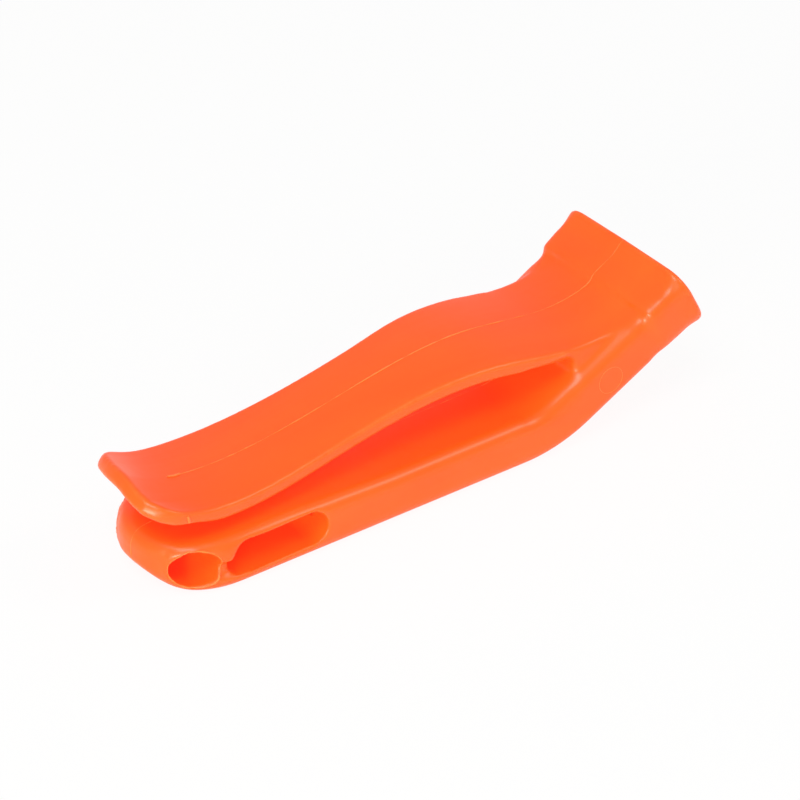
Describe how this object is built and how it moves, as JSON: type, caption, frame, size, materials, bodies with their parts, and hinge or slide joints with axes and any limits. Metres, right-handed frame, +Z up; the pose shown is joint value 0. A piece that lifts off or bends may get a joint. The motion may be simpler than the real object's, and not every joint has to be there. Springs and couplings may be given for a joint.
{
  "type": "training whistle",
  "caption": "Flat pealess training whistle in moulded plastic with an angled flared mouthpiece, side windows, a lanyard hole and a sprung belt clip.",
  "frame": {"origin": "middle of the whistle's footprint, on the ground it lies on", "axes": "+X towards the mouthpiece, +Y to the player's right, +Z up through the clip"},
  "size_m": [0.0759, 0.0216, 0.0184],
  "materials": {
    "orange_plastic": "satin moulded orange plastic, slightly translucent",
    "divider_plastic": "plain moulded orange plastic"
  },
  "bodies": {
    "body": {"left_body_half": "orange_plastic", "right_body_half": "orange_plastic", "centre_divider": "divider_plastic"},
    "clip": {"left_clip_half": "orange_plastic", "right_clip_half": "orange_plastic"}
  },
  "joints": [
    {"name": "clip_flex", "type": "hinge", "parent": "body", "child": "clip", "pos_m": [0.01723, 0, 0.0133], "axis": [0, 1, 0], "range_deg": [0, 8], "stiffness_Nm_per_rad": 0.3}
  ]
}
